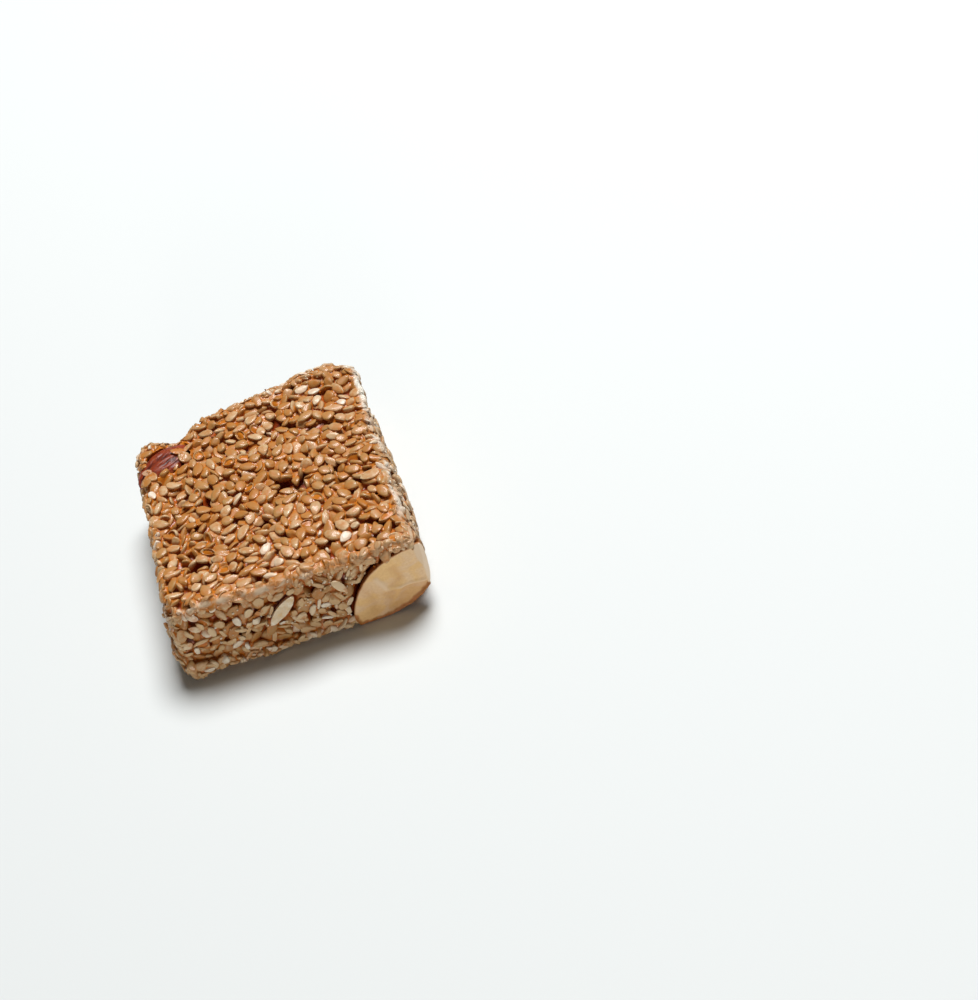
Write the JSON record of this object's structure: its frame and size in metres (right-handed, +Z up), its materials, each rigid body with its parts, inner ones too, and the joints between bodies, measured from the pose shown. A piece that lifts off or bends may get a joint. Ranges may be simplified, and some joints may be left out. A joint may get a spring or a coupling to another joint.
{
  "type": "sesame brittle slab",
  "caption": "Hand-cut slab of roasted sesame seeds bound in caramel, rough side up, with a big split nut at its lower front corner and a red-skinned nut in its top.",
  "frame": {"origin": "middle of the slab's box, at the underside that it rests on", "axes": "+Z up out of the rough top, -Y out of the cut front that shows the big nut half, +X to the right seen from the front"},
  "size_m": [0.0518, 0.0584, 0.0188],
  "materials": {
    "sesame_and_caramel": "golden roasted seeds in glossy orange-brown caramel, dusted pale along the cut edges",
    "nut_flesh": "dull beige roasted nut flesh with faint creases and a thin brown skin",
    "red_nut_skin": "red-brown nut skin under a film of caramel"
  },
  "bodies": {
    "root": {"sesame_slab": "sesame_and_caramel", "nut_half": "nut_flesh", "nut_sliver": "nut_flesh", "red_nut": "red_nut_skin"}
  },
  "joints": []
}
